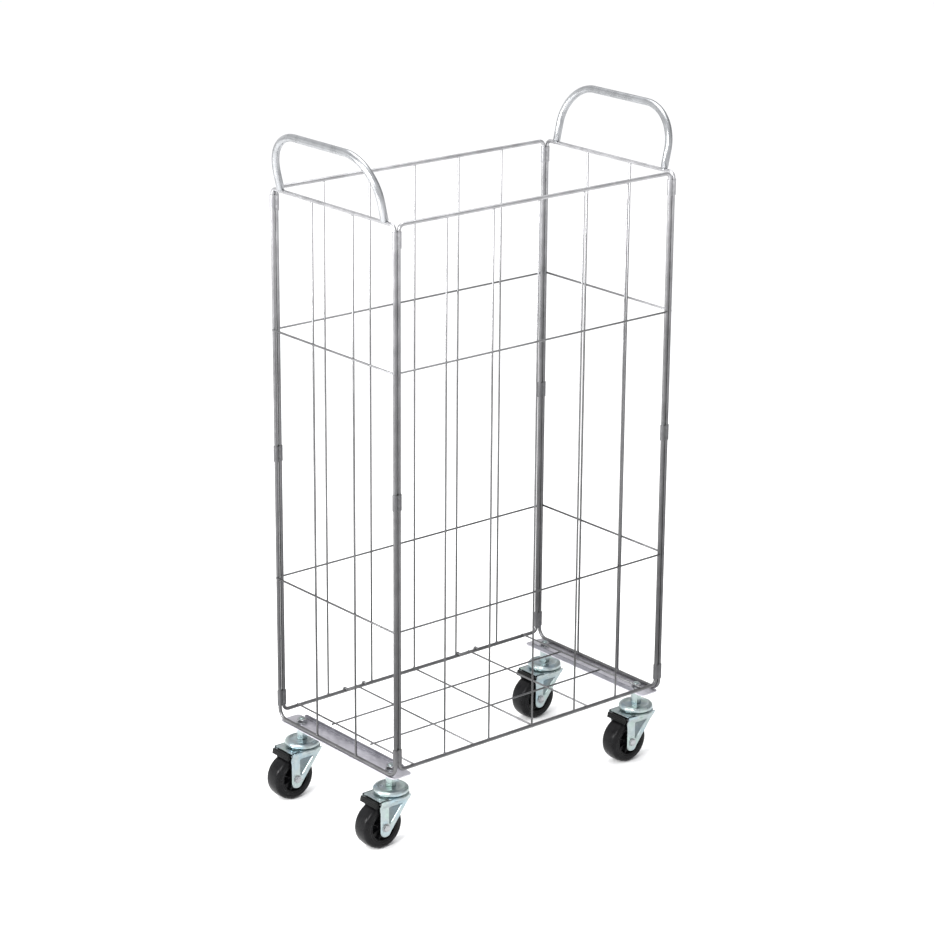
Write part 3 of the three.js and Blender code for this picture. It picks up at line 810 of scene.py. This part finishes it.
def recess_edges(z):
    """The back and front edge of a leg's pressed triangular panel, carried on beyond its ends."""
    level = min(max(z, RECESS_FOOT), RECESS_HEAD)
    rise = (level - RECESS_FOOT) / (RECESS_HEAD - RECESS_FOOT)
    reach = RECESS_FRONT_AT_FOOT + (RECESS_FRONT_AT_HEAD - RECESS_FRONT_AT_FOOT) * rise
    back, front = leg_edges(level)
    shares = [(x - back) / (front - back) for x in (RECESS_BACK, reach)]
    back, front = leg_edges(z)
    return [back + (front - back) * share for share in shares]


def recess_at(x, z):
    """How deep the pressed panel is, as a share of its full depth."""
    back, front = recess_edges(z)
    wall = min(RECESS_WALL, (front - back) / 2)
    ends = smooth((z - RECESS_FOOT) / RECESS_WALL) * smooth((RECESS_HEAD - z) / RECESS_WALL)
    return smooth(min(x - back, front - x) / max(wall, 0.1 * MM)) * ends


def leg_columns(z):
    """Where a leg's columns of points stand, so that some of them follow the panel's walls."""
    back, front = leg_edges(z)
    panel_back, panel_front = recess_edges(z)
    wall = min(RECESS_WALL, (panel_front - panel_back) / 2)
    stops = [back, panel_back, panel_back + wall, panel_front - wall, panel_front, front]
    counts = [11, 6, 8, 6, 11]
    columns = [back]
    for i, count in enumerate(counts):
        for j in range(1, count + 1):
            share = j / count
            if i == 0:
                share = share ** 1.8
            if i == len(counts) - 1:
                share = 1 - (1 - share) ** 1.8
            columns.append(stops[i] + (stops[i + 1] - stops[i]) * share)
    return columns


def fork_leg(form, at, side, outer):
    """One leg, a pressed sheet whose top spreads to meet the crown's skirt."""
    levels = [112 * MM - i * 1.52 * MM for i in range(46)]
    levels += [(LEG_FOOT - LEG_END_R * math.sin(math.radians(a))) * MM for a in range(4, 90, 8)]
    levels.append(29.1 * MM)
    outside = []
    inside = []
    for z in levels:
        back, front = leg_edges(z)
        spread = 6 * MM * smooth((z - 92 * MM) / (18 * MM))
        face = []
        rear = []
        for x in leg_columns(z):
            edge = min(x - back, front - x, z - 29 * MM)
            roll = 0.9 * MM * (1 - smooth(edge / (1.6 * MM)))
            bead = 0.7 * MM * math.exp(-(((edge - 3.2 * MM) / (1.6 * MM)) ** 2))
            bead *= smooth((100 * MM - z) / (8 * MM))
            y = outer + spread - RECESS_DEPTH * recess_at(x, z) - roll + bead
            face.append(Vector((at.x + x, at.y + side * y, z)))
            rear.append(Vector((at.x + x, at.y + side * (y - LEG_THICKNESS + 1.6 * roll), z)))
        outside.append(face)
        inside.append(rear)
    rows = [face + rear[::-1] for face, rear in zip(outside, inside)]
    start = len(form.points)
    form.grid(rows)
    # painted shade: points in the pressed panel are darkened by a share that grows with its depth
    for index in range(start, len(form.points)):
        spot = form.points[index]
        form.recess_shade[index] = smooth(recess_at(spot.x - at.x, spot.z) * 1.4)


def fork(name, at):
    """The crown with its lower race, two legs, the shelf over the brake and the front lip."""
    place = Matrix.Translation((at.x, at.y, 0))
    form = Form()
    rows = []
    for level, amount in CROWN_EDGE:
        outline = stadium(CROWN_LENGTH - 2 * amount * MM, CROWN_WIDTH - 2 * amount * MM)
        rows.append([place @ Vector((x, y, level * MM)) for x, y in outline])
    form.grid(rows)
    turned(form, RACE_PROFILE, place @ Matrix.Translation((0, 0, CROWN_TOP * MM)), 64)
    leg_outer = (half_width(name + "_brake_pin") - 1) * MM
    for side in (-1, 1):
        fork_leg(form, at, side, leg_outer)
    shelf = round_corners(
        [(SHELF_BACK, -SHELF_HALF), (0, -SHELF_HALF), (0, SHELF_HALF), (SHELF_BACK, SHELF_HALF)],
        [3 * MM] * 4)
    slab(form, shelf, (CROWN_TOP - SHELF_THICKNESS) * MM, CROWN_TOP * MM, 0.8 * MM, place)
    wide, tall = TAB_HALF_WIDTH, TAB_HALF_HEIGHT
    tab = round_corners(
        [(-wide, -tall), (wide, -tall), (wide, tall), (-wide, tall)],
        [6 * MM, 6 * MM, 2 * MM, 2 * MM])
    lean = Matrix.Rotation(TAB_LEAN, 4, "Y")
    upright = Matrix(((0, 0, 1, 0), (1, 0, 0, 0), (0, 1, 0, 0), (0, 0, 0, 1)))
    tab_place = place @ Matrix.Translation((TAB_X, 0, TAB_Z)) @ lean @ upright
    slab(form, tab, -1.5 * MM, 1.5 * MM, 0.8 * MM, tab_place)
    piece(name + "_pressed_fork", form, CASTER, name + "_fork", [name + "_fork"])


AXLE_TURN = Matrix.Rotation(math.radians(90), 4, "X")


def axle(name, hub_at):
    """The bolt through the hub, with a washer, a hexagon and a rounded end at each side."""
    half = half_width(name + "_axle")
    place = Matrix.Translation(hub_at) @ AXLE_TURN
    form = Form()
    head = half - 4.7
    shank = [(0, -half + 1), (AXLE_R, -half + 1), (AXLE_R, half - 1), (0, half - 1)]
    washer = [
        (0, head - 0.4), (8.6, head - 0.4), (9, head - 0.1), (9, head + 0.5),
        (8.6, head + 0.8), (0, head + 0.8),
    ]
    end = [(0, half - 0.8), (3.6, half - 0.8), (3.4, half - 0.2), (2.6, half), (0, half)]
    turned(form, shank, place, 32)
    for flip in (Matrix.Identity(4), Matrix.Rotation(math.pi, 4, "X")):
        turned(form, washer, place @ flip, 40)
        hexagon(form, AXLE_HEAD_FLATS, head + 0.8, half - 0.4, place @ flip)
        turned(form, end, place @ flip, 24)
    piece(name + "_axle_bolt", form, BRIGHT, name + "_fork", [name + "_axle"])


def tyre(name, hub_at):
    """A tyre with a fine ring on its side wall, round shoulders and a slightly crowned tread."""
    half = half_width(name + "_tyre")
    side = [
        (34, half - 0.6), (35, half - 0.2), (37, half), (38.6, half), (39.2, half - 0.5), (39.8, half),
    ]
    shoulder = 9
    for i in range(9):
        angle = math.radians(90 * i / 8)
        side.append((40.2 + shoulder * math.sin(angle), half - shoulder * (1 - math.cos(angle))))
    tread = half - shoulder
    side += [(49.62, tread - 3), (49.82, tread - 6), (49.95, tread - 9), (50, 0.6)]
    profile = side + [(r, -y) for r, y in reversed(side)]
    form = Form()
    turned(form, profile, Matrix.Translation(hub_at) @ AXLE_TURN, 96, closed=True)
    piece(name + "_tread", form, TREAD, name + "_wheel", [name + "_tyre"], 60)


def wheel_centre(name, hub_at):
    """The moulded wheel centre: a boss, a dished web with ribs and a rim under the tyre."""
    half = half_width(name + "_hub")
    rim = half_width(name + "_tyre")
    side = [
        (5.2, half), (8.4, half), (9.6, half - 0.5), (10.2, half - 1.6), (11, 13.4), (12.4, 12.3),
        (14.5, 12), (26, 12), (27.6, 12.4), (28.8, 14), (29.6, rim - 1.4), (30.4, rim - 0.5),
        (31.4, rim), (32.8, rim), (33.5, rim - 0.6), (33.8, rim - 1.4),
    ]
    profile = side + [(r, -y) for r, y in reversed(side)]
    place = Matrix.Translation(hub_at) @ AXLE_TURN
    form = Form()
    turned(form, profile, place, 72, closed=True)
    rib = round_corners(
        [(10 * MM, -1.3 * MM), (31 * MM, -1.1 * MM), (31 * MM, 1.1 * MM), (10 * MM, 1.3 * MM)],
        [0.8 * MM] * 4, 3)
    for i in range(RIBS):
        turn = Matrix.Rotation(2 * math.pi * (i + 0.5) / RIBS, 4, "Z")
        slab(form, rib, -18 * MM, 18 * MM, 0.7 * MM, place @ turn)
    piece(name + "_wheel_centre", form, CENTRE, name + "_wheel", [name + "_hub"])


def brake_pedal(name, at):
    """A folded lever between the legs, whose ridged toe plate stands up behind the crown."""
    toe_half = half_width(name + "_brake_pedal") * MM
    arm_half = 22 * MM
    upright = Matrix(((1, 0, 0, 0), (0, 0, 1, 0), (0, 1, 0, 0), (0, 0, 0, 1)))
    place = Matrix.Translation((at.x, at.y, 0)) @ upright
    arm = [(-41.5, 109.5), (-50, 110), (-55, 104), (-55, 99.6), (-50, 101), (-41.5, 101.6)]
    toe = [(-54.7, 111), (-57.9, 111), (-60.5, 99.4), (-58, 98.2), (-51.8, 101.2)]
    form = Form()
    for outline, half, radii in (
        (arm, arm_half, [2.5, 4, 2, 1, 1, 2]),
        (toe, toe_half, [1.4, 1.4, 0.8, 0.8, 0.8]),
    ):
        shape = round_corners([(x * MM, z * MM) for x, z in outline], [r * MM for r in radii], 4)
        slab(form, shape, -half, half, 0.9 * MM, place)
    for i in range(TOE_RIDGES):
        ridge = 101.6 + i * 3.2
        x = -60.5 + (ridge - 99.4) * 2.6 / 11.6 + 0.2
        shape = stadium(2 * (toe_half - 5 * MM), 2 * MM, 6)
        turn = Matrix(((0, 0, -1, x * MM), (1, 0, 0, 0), (0, 1, 0, ridge * MM), (0, 0, 0, 1)))
        slab(form, shape, -1.2 * MM, 0.7 * MM, 0.6 * MM, Matrix.Translation((at.x, at.y, 0)) @ turn)
    piece(name + "_pedal", form, ENAMEL, name + "_brake", [name + "_brake_pedal"])


def brake_pin(name):
    low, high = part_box(name + "_brake_pin")
    centre = (low + high) / 2
    half = (high.y - low.y) / 2 / MM
    form = Form()
    side = [(0, half), (1.6, half), (2.6, half - 0.35), (3.2, half - 0.95), (2.5, half - 1)]
    profile = side + [(r, -y) for r, y in reversed(side)]
    turned(form, profile, Matrix.Translation(centre) @ AXLE_TURN, 28)
    piece(name + "_rivet", form, BRIGHT, name + "_fork", [name + "_brake_pin"])


def caster(corner):
    name = "caster_" + corner
    low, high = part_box(name + "_stem")
    at = (low + high) / 2
    tyre_low, tyre_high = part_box(name + "_tyre")
    hub_at = (tyre_low + tyre_high) / 2
    stem(name, at)
    swivel_cap(name, at)
    fork(name, at)
    axle(name, hub_at)
    tyre(name, hub_at)
    wheel_centre(name, hub_at)
    brake_pedal(name, at)
    brake_pin(name)


# ---- the cart ----
panels()
for corner in CORNERS:
    for level in ("bottom", "middle", "top"):
        corner_clip(f"clip_{corner}_{level}")
    caster(corner)
for side_name, side_way in (("left", -1), ("right", 1)):
    handle(side_name + "_handle", side_way)
    base_plate(side_name + "_base_plate", side_way)
floor_grid()


# ---- floor, light and camera ----
def floor():
    data = bpy.data.meshes.new("floor")
    far = 60.0
    data.from_pydata([(-far, -far, 0), (far, -far, 0), (far, far, 0), (-far, far, 0)], [], [(0, 1, 2, 3)])
    made, tree, shader, at = fresh_material("pale_floor")
    cloud = mottle(tree, at["Object"], 0.7)
    tint = ramp(tree, cloud, [(0.2, (0.9, 0.9, 0.9)), (0.8, (0.93, 0.93, 0.93))])
    tree.links.new(tint, shader.inputs["Base Color"])
    shader.inputs["Roughness"].default_value = 0.7
    data.materials.append(made)
    plane = bpy.data.objects.new("floor", data)
    bpy.context.scene.collection.objects.link(plane)


def softbox(name, place, aim, size, power):
    data = bpy.data.lights.new(name, "AREA")
    data.shape = "RECTANGLE"
    data.size, data.size_y = size
    data.energy = power
    made = bpy.data.objects.new(name, data)
    made.location = place
    made.rotation_mode = "QUATERNION"
    made.rotation_quaternion = (Vector(aim) - Vector(place)).to_track_quat("-Z", "Y")
    bpy.context.scene.collection.objects.link(made)


def studio():
    world = bpy.data.worlds.new("studio")
    bpy.context.scene.world = world
    world.use_nodes = True
    tree = world.node_tree
    background = tree.nodes["Background"]
    coordinates = node(tree, "ShaderNodeTexCoord")
    split = node(tree, "ShaderNodeSeparateXYZ")
    tree.links.new(coordinates.outputs["Generated"], split.inputs["Vector"])
    sky = ramp(tree, scaled(tree, split.outputs["Z"], 0.0, 1.0), [
        (0.0, (0.9, 0.9, 0.9)), (0.18, (0.95, 0.95, 0.95)),
        (0.45, (0.62, 0.62, 0.63)), (1.0, (0.95, 0.95, 0.96)),
    ])
    right = ramp(tree, scaled(tree, split.outputs["X"], 0.0, 1.0), [
        (0.0, (1.0, 1.0, 1.0)), (0.3, (1.0, 1.0, 1.0)),
        (0.8, (0.5, 0.5, 0.5)), (1.0, (0.45, 0.45, 0.45)),
    ])
    tree.links.new(mixed(tree, 1.0, sky, right, "MULTIPLY"), background.inputs["Color"])
    background.inputs["Strength"].default_value = 1.5
    softbox("key", (-3.2, -1.4, 2.8), (0, 0, 0.5), (1.1, 1.1), 120)
    softbox("top", (0.5, 0.4, 4.2), (0, 0, 0.5), (2.6, 2.6), 70)
    softbox("side", (-3.4, 0.75, 1.4), (-0.35, -0.15, 0.1), (0.6, 0.6), 95)


CAMERA_TARGET = Vector((middle_x - 98.8 * MM, middle_y - 97.2 * MM, rail_low + 575 * MM))
CAMERA_AZIMUTH = math.radians(-39.816)
CAMERA_ELEVATION = math.radians(18.673)
CAMERA_ROLL = math.radians(0.393)
CAMERA_DISTANCE = 6.038
CAMERA_LENS = 112.34


def camera():
    data = bpy.data.cameras.new("camera")
    data.lens = CAMERA_LENS
    data.sensor_width = 36.0
    made = bpy.data.objects.new("camera", data)
    away = Vector((
        math.sin(CAMERA_AZIMUTH) * math.cos(CAMERA_ELEVATION),
        -math.cos(CAMERA_AZIMUTH) * math.cos(CAMERA_ELEVATION),
        math.sin(CAMERA_ELEVATION),
    ))
    made.location = CAMERA_TARGET + away * CAMERA_DISTANCE
    made.rotation_mode = "QUATERNION"
    roll = Matrix.Rotation(CAMERA_ROLL, 4, "Z").to_quaternion()
    made.rotation_quaternion = (-away).to_track_quat("-Z", "Y") @ roll
    bpy.context.scene.collection.objects.link(made)
    bpy.context.scene.camera = made


floor()
studio()
camera()
bpy.context.scene.view_settings.view_transform = "Standard"
